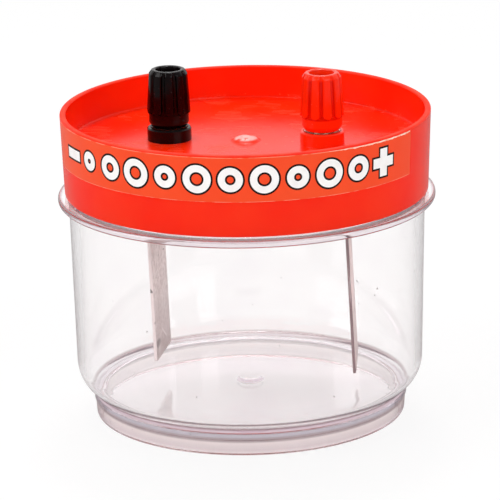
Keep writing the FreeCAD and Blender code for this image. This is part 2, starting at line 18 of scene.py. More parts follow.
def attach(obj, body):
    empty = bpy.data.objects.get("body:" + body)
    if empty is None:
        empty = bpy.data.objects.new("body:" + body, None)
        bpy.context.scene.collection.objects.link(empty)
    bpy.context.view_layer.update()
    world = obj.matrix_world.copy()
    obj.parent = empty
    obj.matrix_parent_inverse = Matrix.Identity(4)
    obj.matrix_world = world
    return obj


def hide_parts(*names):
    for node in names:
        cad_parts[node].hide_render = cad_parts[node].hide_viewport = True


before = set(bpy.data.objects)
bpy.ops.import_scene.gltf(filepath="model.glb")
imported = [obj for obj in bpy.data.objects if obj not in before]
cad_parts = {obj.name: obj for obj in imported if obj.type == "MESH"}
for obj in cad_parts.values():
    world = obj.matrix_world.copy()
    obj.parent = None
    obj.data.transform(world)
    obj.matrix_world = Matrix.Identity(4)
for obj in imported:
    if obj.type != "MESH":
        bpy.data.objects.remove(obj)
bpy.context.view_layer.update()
MM = 0.001

# %% [markdown]
# ## The camera
# The photograph was taken from a little to the right of the label's middle, about a metre away,
# and from slightly above. A long lens keeps the two rims nearly parallel. The camera's three
# directions are written as vectors and put straight into its matrix, because the picture is also
# rolled a little: its right side sits higher.

# %% Camera
AZIMUTH = math.radians(10.0)
ELEVATION = math.radians(16.39)
ROLL = math.radians(1.1)
DISTANCE = 1016.7 * MM
LENS = 267.8
SENSOR = 36
FARTHEST = 20
AIM_ACROSS = 0.587
AIM_HEIGHT = 44.5

across = Vector((math.cos(AZIMUTH), math.sin(AZIMUTH), 0))
forward = Vector((
    -math.sin(AZIMUTH) * math.cos(ELEVATION),
    math.cos(AZIMUTH) * math.cos(ELEVATION),
    -math.sin(ELEVATION),
))
upward = across.cross(forward)
aim = across * AIM_ACROSS * MM + Vector((0, 0, AIM_HEIGHT * MM))
rolled_across = across * math.cos(ROLL) - upward * math.sin(ROLL)
rolled_upward = upward * math.cos(ROLL) + across * math.sin(ROLL)

camera_data = bpy.data.cameras.new("camera")
camera_data.lens = LENS
camera_data.sensor_width = SENSOR
camera_data.clip_end = FARTHEST
camera = bpy.data.objects.new("camera", camera_data)
bpy.context.scene.collection.objects.link(camera)
turn = Matrix((rolled_across, rolled_upward, -forward)).transposed()
camera.matrix_world = Matrix.Translation(aim - forward * DISTANCE) @ turn.to_4x4()
bpy.context.scene.camera = camera
bpy.context.scene.view_settings.view_transform = "Standard"
print("camera at", tuple(round(value, 4) for value in camera.matrix_world.translation))

# %% [markdown]
# ## Writing materials as sums
# A material is a small calculation: where is this point, how scratched is it, so how rough and how
# light. Blender keeps that calculation as nodes. The class below lets it be written the way a
# formula is. A Wire is one output of a node; adding or multiplying wires adds the Math nodes that
# do it, and `node` makes every other kind.

# %% A wire, and the tools that go with it
MIX_AMOUNT, MIX_FIRST, MIX_SECOND, MIX_RESULT = 0, 6, 7, 2


class Wire:
    def __init__(self, tree, socket=None):
        self.tree = tree
        self.socket = socket

    def node(self, kind, settings=(), sockets=(), output=0):
        made = self.tree.nodes.new(kind)
        for name, value in dict(settings).items():
            if name == "stops":
                place_stops(made.color_ramp, value)
            else:
                setattr(made, name, value)
        for name, value in dict(sockets).items():
            if isinstance(value, Wire):
                self.tree.links.new(value.socket, made.inputs[name])
            else:
                made.inputs[name].default_value = value
        return None if output is None else Wire(self.tree, made.outputs[output])

    def maths(self, operation, *numbers):
        return self.node("ShaderNodeMath", {"operation": operation}, dict(enumerate(numbers)))

    def __add__(self, other):
        return self.maths("ADD", self, other)

    def __sub__(self, other):
        return self.maths("SUBTRACT", self, other)

    def __rsub__(self, other):
        return self.maths("SUBTRACT", other, self)

    def __mul__(self, other):
        return self.maths("MULTIPLY", self, other)

    def __truediv__(self, other):
        return self.maths("DIVIDE", self, other)

    def __abs__(self):
        return self.maths("ABSOLUTE", self)

    __radd__ = __add__
    __rmul__ = __mul__

    def between(self, low, high):
        """0 below low, 1 above high, a smooth step between. With low above high it falls."""
        limits = {"Value": self, "From Min": low, "From Max": high}
        return self.node("ShaderNodeMapRange", {"interpolation_type": "SMOOTHSTEP"}, limits)


def place_stops(ramp, stops):
    while len(ramp.elements) < len(stops):
        ramp.elements.new(1.0)
    for element, (position, shade) in zip(ramp.elements, stops):
        element.position = position
        element.color = shade


def blended(amount, first, second):
    """Two colours mixed by a wire. Colours never go through Math, which would turn them grey."""
    sockets = {MIX_AMOUNT: amount, MIX_FIRST: first, MIX_SECOND: second}
    return amount.node("ShaderNodeMix", {"data_type": "RGBA"}, sockets, MIX_RESULT)


def smallest(first, second):
    return first.maths("MINIMUM", first, second)


def largest(first, second):
    return first.maths("MAXIMUM", first, second)


def srgb(red, green, blue):
    """A colour as it is read off a screen, turned into the light that it stands for."""
    parts = []
    for value in (red / 255, green / 255, blue / 255):
        parts.append(value / 12.92 if value <= 0.04045 else ((value + 0.055) / 1.055) ** 2.4)
    return (*parts, 1.0)


print("wires ready; a mid grey is", tuple(round(value, 3) for value in srgb(128, 128, 128)))

# %% [markdown]
# ## Places and patterns
# Every piece keeps the same coordinates, in metres from the middle of the jar's foot, so a pattern
# can be tied to the real object: a scratch runs along a strip, a rub sits on the rim. Noise
# stretched along one axis gives scratches; noise that only shows above a threshold gives specks.

# %% Patterns that several finishes share
CLOUD_ROUGHNESS = 0.55


def position(tree):
    return Wire(tree).node("ShaderNodeTexCoord", output="Object")


def stretched(place, scale, turned=(0, 0, 0)):
    return place.node("ShaderNodeMapping", {}, {"Vector": place, "Scale": scale, "Rotation": turned})


def clouds(place, scale, detail=3.0):
    sockets = {"Vector": place, "Scale": scale, "Detail": detail, "Roughness": CLOUD_ROUGHNESS}
    return place.node("ShaderNodeTexNoise", {}, sockets)


def height_of(place):
    return place.node("ShaderNodeSeparateXYZ", {}, {"Vector": place}, "Z")


def radius_of(place):
    """How far a point is from the jar's axis."""
    level = place.node("ShaderNodeVectorMath", {"operation": "MULTIPLY"}, {0: place, 1: (1, 1, 0)})
    return place.node("ShaderNodeVectorMath", {"operation": "LENGTH"}, {0: level}, "Value")


def scratches(place, along, across_them, turned, width=0.02):
    """Thin lines: the places where a noise, stretched along them, passes through its middle value."""
    lines = clouds(stretched(place, (along, across_them, across_them), turned), 1.0, 2.0)
    gate = clouds(place, 90.0, 2.0).between(0.52, 0.62)
    return abs(lines - 0.5).between(width, 0.0) * gate


def bumped(height, strength, distance):
    sockets = {"Strength": strength, "Distance": distance, "Height": height}
    return height.node("ShaderNodeBump", {}, sockets)


def new_material(name):
    material = bpy.data.materials.new(name)
    material.use_nodes = True
    tree = material.node_tree
    tree.nodes.clear()
    return material, tree


def shine(tree, settings):
    start = Wire(tree)
    surface = start.node("ShaderNodeBsdfPrincipled", {}, settings)
    start.node("ShaderNodeOutputMaterial", {}, {"Surface": surface}, output=None)


print("patterns ready")

# %% [markdown]
# ## Clear moulded plastic
# The jar is a thick clear moulding. It shows mostly by what it bends, so it is a real refracting
# solid. Light that has bounced inside it many times would be lost, and leave black lines; past a
# few bounces it is let straight out, a little greyer. Light on its way to a lamp also passes, so
# that the jar doesn't throw a black shadow. The foot and the flange's edge carry painted light and
# shade: dark lines for the shadow under the foot's steps, and grey and pale bands for the lines that
# the thick plastic bends there. FOOT_BANDS lists those greys from the foot's lower edge upwards, as
# shares of RAMP_REACH.

# %% The jar's plastic
DEEP_PATH = 3
# painted light and shade on the outside of the foot, from its lower edge upwards
FOOT_BANDS = (
    (0.00, srgb(176, 150, 152)),
    (0.05, srgb(206, 188, 188)),
    (0.08, srgb(234, 220, 221)),
    (0.15, srgb(214, 196, 198)),
    (0.23, srgb(222, 206, 206)),
    (0.35, srgb(240, 225, 222)),
    (0.39, srgb(150, 130, 133)),
    (0.44, srgb(132, 112, 115)),
    (0.50, srgb(142, 128, 134)),
    (0.53, srgb(170, 167, 180)),
    (0.61, srgb(174, 170, 183)),
    (0.65, srgb(224, 208, 211)),
    (0.70, srgb(222, 204, 208)),
    (0.73, srgb(140, 112, 116)),
    (0.78, srgb(140, 114, 118)),
    (0.83, srgb(253, 252, 252)),
)
RAMP_REACH = 10.0 * MM
OUTER_FOOT = 41.6 * MM
BANDS_END = 9.2 * MM
FLANGE_EDGE = 49.9 * MM
FLANGE_PAINTED_SHADE = srgb(214, 192, 202)
JAR_DUST = srgb(120, 100, 100)
LET_THROUGH = srgb(248, 243, 246)


def clear_moulding():
    material, tree = new_material("clear_moulding")
    place = position(tree)
    height = height_of(place)
    radius = radius_of(place)
    hairs = largest(
        scratches(place, 10.0, 900.0, (0.3, 0.9, 0.2), 0.012),
        scratches(place, 8.0, 800.0, (1.1, 0.2, 2.1), 0.012),
    )
    haze = clouds(place, 60.0).between(0.45, 0.75)
    dust = clouds(place, 520.0, 1.0).between(0.795, 0.815)
    clean = blended(haze, srgb(254, 253, 253), srgb(252, 250, 251))
    # the foot's bands are painted shade and painted light: shadow lines under its steps, and the bands
    # that the thick plastic bends there
    bands = place.node("ShaderNodeValToRGB", {"stops": FOOT_BANDS}, {"Fac": height / RAMP_REACH})
    thick = radius.between(OUTER_FOOT - 0.2 * MM, OUTER_FOOT) * height.between(9.6 * MM, BANDS_END)
    banded = blended(thick, clean, bands)
    # the flange's outer edge is painted greyer, as painted shade for the dark lines that its edge bends
    flange = radius.between(FLANGE_EDGE, FLANGE_EDGE + 0.8 * MM)
    painted_edges = blended(flange * 0.8, banded, FLANGE_PAINTED_SHADE)
    settings = {
        "Base Color": blended(dust * 0.8, painted_edges, JAR_DUST),
        "Roughness": 0.010 + hairs * 0.10 + haze * 0.01 + dust * 0.3,
        "IOR": 1.49,
        "Transmission Weight": 1.0,
        "Normal": bumped(clouds(place, 30.0, 1.0), 0.15, 0.3 * MM),
    }
    start = Wire(tree)
    plastic = start.node("ShaderNodeBsdfPrincipled", {}, settings)
    straight = start.node("ShaderNodeBsdfTransparent", {}, {"Color": LET_THROUGH})
    shadow = start.node("ShaderNodeLightPath", output="Is Shadow Ray")
    bounces = start.node("ShaderNodeLightPath", output="Glossy Depth")
    passing = largest(shadow, bounces.between(DEEP_PATH - 0.6, DEEP_PATH - 0.4))
    surface = start.node("ShaderNodeMixShader", {}, {0: passing, 1: plastic, 2: straight})
    start.node("ShaderNodeOutputMaterial", {}, {"Surface": surface}, output=None)
    return material


CLEAR = clear_moulding()
print("made", CLEAR.name)

# %% [markdown]
# ## Red moulded plastic
# The lid is a bright orange-red moulding with a soft gloss. Plugs and fingers have left fine hair
# lines and specks on the tray's floor, and the rim is a little paler and duller where it is
# rubbed. The gate mark in the middle is stress-whitened, as it is where the plastic was torn off
# its runner, and its paler colour is also a painted highlight on the dome.

# %% The lid's plastic
RIM_HEIGHT = 84.5 * MM
TRAY_FLOOR = 75.4
TRAY_HEIGHT = TRAY_FLOOR * MM
TRAY_RADIUS = 48.6 * MM
RED_LOW, RED_HIGH = srgb(253, 34, 2), srgb(255, 45, 4)
RED_WORN = srgb(252, 120, 85)
GATE_WHITENING_AND_HIGHLIGHT = srgb(253, 208, 202)


def red_moulding():
    material, tree = new_material("red_moulding")
    place = position(tree)
    height = height_of(place)
    radius = radius_of(place)
    mottle = clouds(place, 45.0).between(0.35, 0.7)
    near_floor = abs(height - TRAY_HEIGHT).between(1.8 * MM, 0.6 * MM)
    on_floor = near_floor * radius.between(TRAY_RADIUS, TRAY_RADIUS - 0.3 * MM)
    hairs = on_floor * largest(
        scratches(place, 12.0, 1100.0, (0.0, 0.0, 0.7), 0.03),
        scratches(place, 10.0, 900.0, (0.0, 0.0, 2.3), 0.03),
    )
    specks = clouds(place, 900.0, 1.0).between(0.70, 0.76) * on_floor
    patches = clouds(place, 160.0).between(0.35, 0.65)
    rubbed = height.between(RIM_HEIGHT - 0.5 * MM, RIM_HEIGHT) * patches
    plain = blended(mottle, RED_LOW, RED_HIGH)
    wear = smallest(hairs * 0.2 + specks * 0.35, 0.5) + rubbed * 0.15
    worn = blended(wear, plain, RED_WORN)
    # the pale patch on the gate dome is stress whitening and also a painted highlight
    domed = height.between(TRAY_HEIGHT + 0.4 * MM, TRAY_HEIGHT + 0.8 * MM)
    gate = radius.between(3.5 * MM, 2.7 * MM) * domed
    whitened_and_highlight = gate * clouds(place, 700.0, 2.0).between(0.30, 0.55)
    on_rim = height.between(RIM_HEIGHT - 0.6 * MM, RIM_HEIGHT)
    settings = {
        "Base Color": blended(whitened_and_highlight * 0.7, worn, GATE_WHITENING_AND_HIGHLIGHT),
        "Roughness": 0.20 + mottle * 0.06 + hairs * 0.15 + on_rim * 0.35,
        "IOR": 1.5,
        "Specular IOR Level": 0.2,
        "Normal": bumped(clouds(place, 1500.0, 2.0) * 0.1 + clouds(place, 40.0, 1.0), 0.10, 0.2 * MM),
    }
    shine(tree, settings)
    return material


RED = red_moulding()
print("made", RED.name)

# %% [markdown]
# ## Label film
# The label is a printed film, more orange than the lid. Its cut edge shows the pale layer under
# the print, so a hair-thin broken line along its edges is lighter.

# %% The label's film and its inks
LABEL_TOP = 84.0 * MM
LABEL_BOTTOM = 72.0 * MM
LABEL_HEIGHT = 12.0
FILM_LOW, FILM_HIGH = srgb(252, 70, 20), srgb(254, 80, 28)
FILM_EDGE = srgb(255, 180, 150)


def label_film():
    material, tree = new_material("label_film")
    place = position(tree)
    height = height_of(place)
    edge = largest(
        height.between(LABEL_TOP - 0.20 * MM, LABEL_TOP - 0.05 * MM),
        height.between(LABEL_BOTTOM + 0.20 * MM, LABEL_BOTTOM + 0.05 * MM),
    )
    chipped = edge * clouds(place, 220.0).between(0.38, 0.55)
    printed_red = blended(clouds(place, 35.0).between(0.3, 0.7), FILM_LOW, FILM_HIGH)
    settings = {
        "Base Color": blended(chipped * 0.6, printed_red, FILM_EDGE),
        "Roughness": 0.28 + clouds(place, 300.0) * 0.08,
        "Specular IOR Level": 0.3,
        "Normal": bumped(clouds(place, 75.0, 2.0), 0.10, 0.2 * MM),
    }
    shine(tree, settings)
    return material


def ink(name, shade, faded, roughness):
    material, tree = new_material(name)
    place = position(tree)
    patchy = clouds(place, 500.0).between(0.3, 0.7)
    settings = {
        "Base Color": blended(patchy, shade, faded),
        "Roughness": roughness + patchy * 0.05,
        "Specular IOR Level": 0.2,
    }
    shine(tree, settings)
    return material


FILM = label_film()
WHITE_INK = ink("white_ink", srgb(254, 252, 251), srgb(250, 246, 244), 0.35)
BLACK_INK = ink("black_ink", srgb(14, 4, 3), srgb(26, 10, 8), 0.45)
FILM_BACK = ink("film_back", srgb(255, 232, 214), srgb(255, 176, 148), 0.5)
print("made", FILM.name, WHITE_INK.name, BLACK_INK.name, FILM_BACK.name)

# %% [markdown]
# ## The posts' plastic
# The caps and collars are glossy mouldings, smoother than the lid. Dust and finger grease break
# the gloss up, which is what makes the black one read as black plastic and not as a hole in the
# picture. The grooves of the caps and the step under their petals are painted darker, as painted
# shade. A point is in a groove if it lies further in than the petals' own radius at its height.

# %% Post plastics
POST_ACROSS = 21.0
CAP_BOTTOM = 79.25
COLLAR_HEIGHT = 3.8
SHOULDER_HEIGHT = 14.6
SKIRT_RADIUS = 5.97
SHOULDER_RADIUS = 5.25


def crevices(place, middle):
    """1 in the grooves between the petals and in the step under them."""
    to_axis = (middle * MM, 0, 0)
    off_axis = place.node("ShaderNodeVectorMath", {"operation": "SUBTRACT"}, {0: place, 1: to_axis})
    rise = height_of(place) / MM - CAP_BOTTOM
    taper = (SHOULDER_RADIUS - SKIRT_RADIUS) / (SHOULDER_HEIGHT - COLLAR_HEIGHT)
    sunk = (rise - COLLAR_HEIGHT) * taper + SKIRT_RADIUS - radius_of(off_axis) / MM
    groove = sunk.between(0.15, 0.55) * rise.between(COLLAR_HEIGHT, COLLAR_HEIGHT + 0.2)
    below_shoulder = rise.between(SHOULDER_HEIGHT, SHOULDER_HEIGHT - 0.8)
    step_bottom = rise.between(COLLAR_HEIGHT - 0.65, COLLAR_HEIGHT - 0.25)
    step_top = rise.between(COLLAR_HEIGHT + 0.1, COLLAR_HEIGHT)
    return largest(groove * below_shoulder, step_bottom * step_top)


def post_plastic(name, middle, shade, painted_crevice_shade, dusty, gloss):
    material, tree = new_material(name)
    place = position(tree)
    grease = clouds(place, 260.0).between(0.35, 0.65)
    dust = clouds(place, 1700.0, 1.0).between(0.70, 0.78)
    # the grooves and the step under the petals are painted darker, as painted shade
    crevice_shaded = blended(crevices(place, middle), shade, painted_crevice_shade)
    settings = {
        "Base Color": blended(dust * 0.2, crevice_shaded, dusty),
        "Roughness": 0.11 + grease * 0.07 + dust * 0.3,
        "IOR": 1.5,
        "Specular IOR Level": gloss,
        "Normal": bumped(clouds(place, 500.0, 2.0), 0.08, 0.1 * MM),
    }
    shine(tree, settings)
    return material


# the fourth colour is the painted shade in the grooves and under the petals
BLACK_POST = post_plastic(
    "black_post_plastic", -POST_ACROSS, srgb(10, 3, 4), srgb(2, 1, 1), srgb(80, 70, 70), 0.2
)
RED_POST = post_plastic(
    "red_post_plastic", POST_ACROSS, srgb(255, 46, 8), srgb(228, 26, 4), srgb(252, 110, 80), 0.25
)
print("made", BLACK_POST.name, RED_POST.name)

# %% [markdown]
# ## The metals
# The studs and washers of the posts are nickel-plated brass, bright and slightly warm. The washer
# under the black cap is coloured dark, as painted shade for the gap under that cap, so nothing
# shines there. The nuts are zinc-plated steel, greyer and duller, with a cloudy plate.

# %% Plated pieces
def plated(name, shade, tarnished, dull):
    material, tree = new_material(name)
    place = position(tree)
    cloudy = clouds(place, 500.0).between(0.3, 0.7)
    rings = clouds(stretched(place, (20.0, 20.0, 9000.0)), 1.0, 1.0)
    tarnish = clouds(place, 900.0).between(0.6, 0.8)
    settings = {
        "Base Color": blended(tarnish * 0.5, shade, tarnished),
        "Metallic": 1.0,
        "Roughness": dull + cloudy * 0.10 + tarnish * 0.15,
        "Normal": bumped(rings, 0.10, 0.05 * MM),
    }
    shine(tree, settings)
    return material


NICKEL = plated("nickel_plate", srgb(232, 227, 216), srgb(170, 158, 140), 0.18)
# a dark nickel for the washer under the black cap: painted shade for the gap under that cap
SHADED_NICKEL = plated("shade_painted_nickel", srgb(74, 64, 60), srgb(40, 32, 30), 0.35)
ZINC = plated("zinc_plate", srgb(206, 207, 210), srgb(150, 150, 156), 0.28)
print("made", NICKEL.name, SHADED_NICKEL.name, ZINC.name)

# %% [markdown]
# ## Electrode strip
# The electrodes are bare strip that has been in and out of solutions: a dull, faintly pink grey,
# drawn lines along the strip, a darker, wetted lower half, and front edges with a painted highlight
# on one strip and painted shade on the other. The one under the black post has a rust pit and a
# bright scratch near its end; both are placed by their distance from a point or a line on that strip.

# %% The strips' metal
RUST_PIT = Vector((-24.2, -6.4, 19.6)) * MM
SCRATCH_START = Vector((-24.0, -3.2, 23.6)) * MM
SCRATCH_END = Vector((-24.2, 4.6, 18.2)) * MM
DRY_HEIGHT, WET_HEIGHT = 40 * MM, 18 * MM
STAINED = srgb(222, 211, 207)
GRAINED = srgb(196, 184, 180)
WETTED = srgb(184, 170, 168)
PITTED = srgb(84, 66, 62)
BARED = srgb(246, 242, 240)


def distance_to(place, spot):
    return place.node("ShaderNodeVectorMath", {"operation": "DISTANCE"}, {0: place, 1: spot}, "Value")


def oval_distance_to(place, spot, scale):
    middle = Vector(value * factor for value, factor in zip(spot, scale))
    return distance_to(stretched(place, scale), middle)


def electrode_strip(name, clean, painted_edge_shading):
    material, tree = new_material(name)
    place = position(tree)
    height = height_of(place)
    facing = place.node("ShaderNodeNewGeometry", output="Normal")
    sideways = abs(place.node("ShaderNodeSeparateXYZ", {}, {"Vector": facing}, "Y"))
    drawn = clouds(stretched(place, (900.0, 900.0, 25.0)), 1.0, 4.0)
    hairs = scratches(place, 900.0, 40.0, (0.0, 1.45, 0.1), 0.04)
    grain = clouds(place, 900.0, 4.0).between(0.42, 0.62)
    stained = clouds(stretched(place, (110.0, 110.0, 70.0)), 1.0, 4.0).between(0.42, 0.66)
    spots = clouds(place, 330.0, 2.0).between(0.68, 0.73)
    wet = height.between(DRY_HEIGHT, WET_HEIGHT)
    pit = oval_distance_to(place, RUST_PIT, (1.0, 0.4, 0.8)).between(1.3 * MM, 0.5 * MM)
    length = (SCRATCH_END - SCRATCH_START).length
    along = distance_to(place, SCRATCH_START) + distance_to(place, SCRATCH_END) - length
    scratch = along.between(0.02 * MM, 0.006 * MM)
    metal = blended(stained * 0.8, clean, STAINED)
    grained = blended(grain * 0.45, metal, GRAINED)
    dulled = blended(wet * 0.5, grained, WETTED)
    # edges facing the front are painted lighter on one strip and darker on the other: a painted
    # highlight and painted shade
    painted_edges = blended(sideways.between(0.5, 0.9) * 0.9, dulled, painted_edge_shading)
    spotted = blended(largest(spots, pit) * 0.8, painted_edges, PITTED)
    settings = {
        "Base Color": blended(largest(hairs * 0.4, scratch), spotted, BARED),
        "Metallic": 0.3 - spots * 0.2,
        "Roughness": 0.42 + drawn * 0.15 + stained * 0.12,
        "Normal": bumped(drawn + hairs * -0.3, 0.15, 0.05 * MM),
    }
    shine(tree, settings)
    return material


# the last colour is the front edges' painted highlight on this strip and their painted shade on the
# next
BLACK_STRIP = electrode_strip("black_side_strip", srgb(252, 246, 243), srgb(248, 236, 234))
RED_STRIP = electrode_strip("red_side_strip", srgb(254, 224, 222), srgb(132, 102, 106))
print("made", BLACK_STRIP.name, RED_STRIP.name)

# %% [markdown]
# ## Dress the solid model
# Many pieces are already the right shape, and only need their finish. The mouldings get a finer
# surface further on, with the soft edges that a mould leaves, and so do the threaded studs.

# %% Give each node its finish
FINISH_OF = {
    "jar": CLEAR,
    "lid": RED,
    "label": FILM,
    "clamp_washer": NICKEL,
    "stud": NICKEL,
    "cap_insert": NICKEL,
    "flat_washer": ZINC,
    "panel_nut": ZINC,
    "lock_washer": ZINC,
    "electrode_nut": ZINC,
}
POST_OF = {"black": BLACK_POST, "red": RED_POST}
STRIP_OF = {"black": BLACK_STRIP, "red": RED_STRIP}
for name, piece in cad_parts.items():
    colour, _, kind = name.partition("_")
    if kind == "electrode":
        coat = STRIP_OF[colour]
    # the washer under the black cap takes the dark nickel, painted shade for the gap there
    elif name == "black_clamp_washer":
        coat = SHADED_NICKEL
    else:
        coat = FINISH_OF.get(kind or name) or POST_OF[colour]
    piece.data.materials.clear()
    piece.data.materials.append(coat)
print("dressed", len(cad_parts), "nodes")

# %% [markdown]
# ## Turned shapes
# A jar, a lid or a stud is an outline swept round an axis. The outline is written as corners, each
# with the radius that rounds it off; the rounding is cut into short steps, and the whole is swept.
# Points on the axis stay single, so the skin closes there.

# %% Round an outline's corners
ROUNDING_STEP = math.radians(12)


def rounded(corners):
    """Corners are (radius, height) or (radius, height, rounding). The two ends stay as they are."""
    points = []
    for number, corner in enumerate(corners):
        here = Vector(corner[:2])
        size = corner[2] if len(corner) == 3 else 0
        if not size:
            points.append(here)
            continue
        back = (Vector(corners[number - 1][:2]) - here).normalized()
        ahead = (Vector(corners[number + 1][:2]) - here).normalized()
        half = back.angle(ahead) / 2
        centre = here + (back + ahead).normalized() * size / math.sin(half)
        start = here + back * size / math.tan(half) - centre
        end = here + ahead * size / math.tan(half) - centre
        turn = start.angle_signed(end)
        count = max(2, math.ceil(abs(turn) / ROUNDING_STEP))
        for index in range(count + 1):
            angle = -turn * index / count
            points.append(centre + Vector((
                start.x * math.cos(angle) - start.y * math.sin(angle),
                start.x * math.sin(angle) + start.y * math.cos(angle),
            )))
    return points


example = rounded([(0, 0), (5, 0, 1), (5, 5)])
print("a rounded corner:", [tuple(round(value, 2) for value in point) for point in example])

# %% Rows of points into a closed skin
SOFT_CREASE = math.radians(35)
TURNED_SIDES = 240


def ring(height, radius, sides, middle=0.0):
    """One row round an upright axis. The radius is a number, or a function of the angle."""
    if radius == 0:
        return [Vector((middle, 0, height)) * MM]
    row = []
    for side in range(sides):
        angle = 2 * math.pi * side / sides
        reach = radius(angle) if callable(radius) else radius
        row.append(Vector((middle + reach * math.cos(angle), reach * math.sin(angle), height)) * MM)
    return row


def row_skin(name, rows, coat, crease=SOFT_CREASE):
    """Joins each row to the next, and the last to the first unless the skin starts on the axis."""
    points, places = [], []
    for row in rows:
        places.append(range(len(points), len(points) + len(row)))
        points += row
    pairs = list(zip(places, places[1:]))
    if len(rows[0]) > 1:
        pairs.append((places[-1], places[0]))
    count = max(len(row) for row in rows)
    faces = []
    for lower, upper in pairs:
        for side in range(count):
            other = (side + 1) % count
            corners = (
                lower[side % len(lower)],
                lower[other % len(lower)],
                upper[other % len(upper)],
                upper[side % len(upper)],
            )
            faces.append(tuple(dict.fromkeys(corners)))
    mesh = bpy.data.meshes.new(name)
    mesh.from_pydata(points, [], faces)
    shell = bmesh.new()
    shell.from_mesh(mesh)
    bmesh.ops.recalc_face_normals(shell, faces=shell.faces)
    shell.to_mesh(mesh)
    shell.free()
    soften(mesh, crease)
    mesh.materials.append(coat)
    piece = bpy.data.objects.new(name, mesh)
    bpy.context.scene.collection.objects.link(piece)
    return piece


def soften(mesh, crease):
    mesh.shade_smooth()
    mesh.set_sharp_from_angle(angle=crease)


def swept(name, outline, coat):
    """An outline swept round the axis. Weighted normals keep long walls straight beside roundings."""
    piece = row_skin(name, [ring(height, radius, TURNED_SIDES) for radius, height in outline], coat)
    evened = piece.modifiers.new("evened", "WEIGHTED_NORMAL")
    evened.keep_sharp = True
    return piece


def dresses(piece, node, body):
    """The piece stands for a node and moves with that body, and the node is hidden."""
    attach(piece, body)
    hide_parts(node)
    print(piece.name, len(piece.data.polygons), "faces")


four = [tuple(round(value / MM, 2) for value in point) for point in ring(0, 1, 4)]
print("a ring of four:", four)

# %% [markdown]
# ## The jar
# The moulding has a stepped foot ring that stacks in a lid's tray, a narrow ledge over it, a
# rounded lower corner, a wall that opens out slightly, a flange and a thin neck. Inside, the floor
# meets the wall in a large round. The mould's gate left a low disc in the middle of the floor.
# Each row below is one of these, as (radius, height, rounding), from the underside up the outside
# and down the inside.

# %% The jar's outline
ARC_STEPS = 9


def arc(start, end, radius):
    """The inner points of the arc from start to end that bulges to the right of that line."""
    first, last = Vector(start), Vector(end)
    chord = last - first
    left = Vector((-chord.y, chord.x)).normalized()
    centre = (first + last) / 2 + left * math.sqrt(radius**2 - chord.length_squared / 4)
    spoke = first - centre
    turn = 2 * math.asin(chord.length / 2 / radius)
    points = []
    for step in range(1, ARC_STEPS):
        angle = turn * step / ARC_STEPS
        points.append((
            centre.x + spoke.x * math.cos(angle) - spoke.y * math.sin(angle),
            centre.y + spoke.x * math.sin(angle) + spoke.y * math.cos(angle),
        ))
    return points


CORNER_FOOT = (43.5, 7.7)
CORNER_TOP = (47.4, 14.5)
CORNER_ARC = 9.0
underside = [(0, 5.7), (40.0, 5.7, 0.8)]
foot = [(40.0, 0, 0.35), (42.4, 0, 0.45), (42.7, 4.2, 0.2), (43.0, 4.6, 0.2), (43.1, 7.5, 0.2)]
corner = [(*CORNER_FOOT, 0.2), *arc(CORNER_FOOT, CORNER_TOP, CORNER_ARC), CORNER_TOP]
flange = [(48.4, 59.8, 0.5), (51.3, 59.8, 0.8), (51.3, 61.6, 0.7), (47.5, 61.6, 0.4)]
neck = [(47.5, 73.3, 0.5), (45.9, 73.3, 0.5)]
inside = [(45.3, 8.1, 5.8), (3.7, 8.1, 0.3), (3.0, 8.8, 0.3), (0, 8.8)]
jar_outline = rounded(underside + foot + corner + flange + neck + inside)
jar = swept("jar_moulding", jar_outline, CLEAR)
dresses(jar, "jar", "jar")

# %% [markdown]
# ## The lid
# Seen from above it is a tray, and from below a cap: one outline gives both. The rim is rounded by
# the mould, and the gate left a smooth dome in the middle of the tray. The two holes for the posts
# are cut with a Boolean, as they aren't on the axis.

# %% The lid's outline and its holes
HOLE_RADIUS = 4.0
HOLE_MIDDLE = 74.5
DRILL_LENGTH = 6
DOME_RISE = 1.5
DOME_RADIUS = 4.0
dome_arc = (DOME_RADIUS**2 + DOME_RISE**2) / (2 * DOME_RISE)
dome_foot = (DOME_RADIUS, 75.45)
dome_top = (0, TRAY_FLOOR + DOME_RISE)
skirt = [(0, 73.6), (48.2, 73.6, 0.8), (47.8, 62.4, 0.3), (49.4, 62.4, 0.3)]
rim = [(50.2, 84.5, 0.5), (48.6, 84.5, 0.5)]
tray = [(48.27, TRAY_FLOOR, 0.6), (DOME_RADIUS + 0.3, TRAY_FLOOR)]
dome = [dome_foot, *arc(dome_foot, dome_top, dome_arc), dome_top]
lid_outline = rounded(skirt + rim + tray + dome)
lid = swept("lid_moulding", lid_outline, RED)


def cut_hole(piece, centre, direction, radius, length, sides=64, crease=SOFT_CREASE):
    """Cuts a round hole through a piece, and leaves no cutter behind."""
    drill_mesh = bpy.data.meshes.new("drill")
    drill = bmesh.new()
    size = {"radius1": radius * MM, "radius2": radius * MM, "depth": length * MM}
    bmesh.ops.create_cone(drill, cap_ends=True, segments=sides, **size)
    drill.to_mesh(drill_mesh)
    drill.free()
    tool = bpy.data.objects.new("drill", drill_mesh)
    bpy.context.scene.collection.objects.link(tool)
    tool.rotation_euler = Vector(direction).to_track_quat("Z", "Y").to_euler()
    tool.location = Vector(centre) * MM
    bpy.context.view_layer.update()
    whole = bpy.data.objects.new("whole", piece.data)
    bpy.context.scene.collection.objects.link(whole)
    cut = whole.modifiers.new("hole", "BOOLEAN")
    cut.operation, cut.solver, cut.object = "DIFFERENCE", "EXACT", tool
    bpy.context.view_layer.update()
    drilled = whole.evaluated_get(bpy.context.evaluated_depsgraph_get())
    piece.data = bpy.data.meshes.new_from_object(drilled)
    soften(piece.data, crease)
    for helper in (whole, tool):
        bpy.data.objects.remove(helper)
    bpy.data.meshes.remove(drill_mesh)


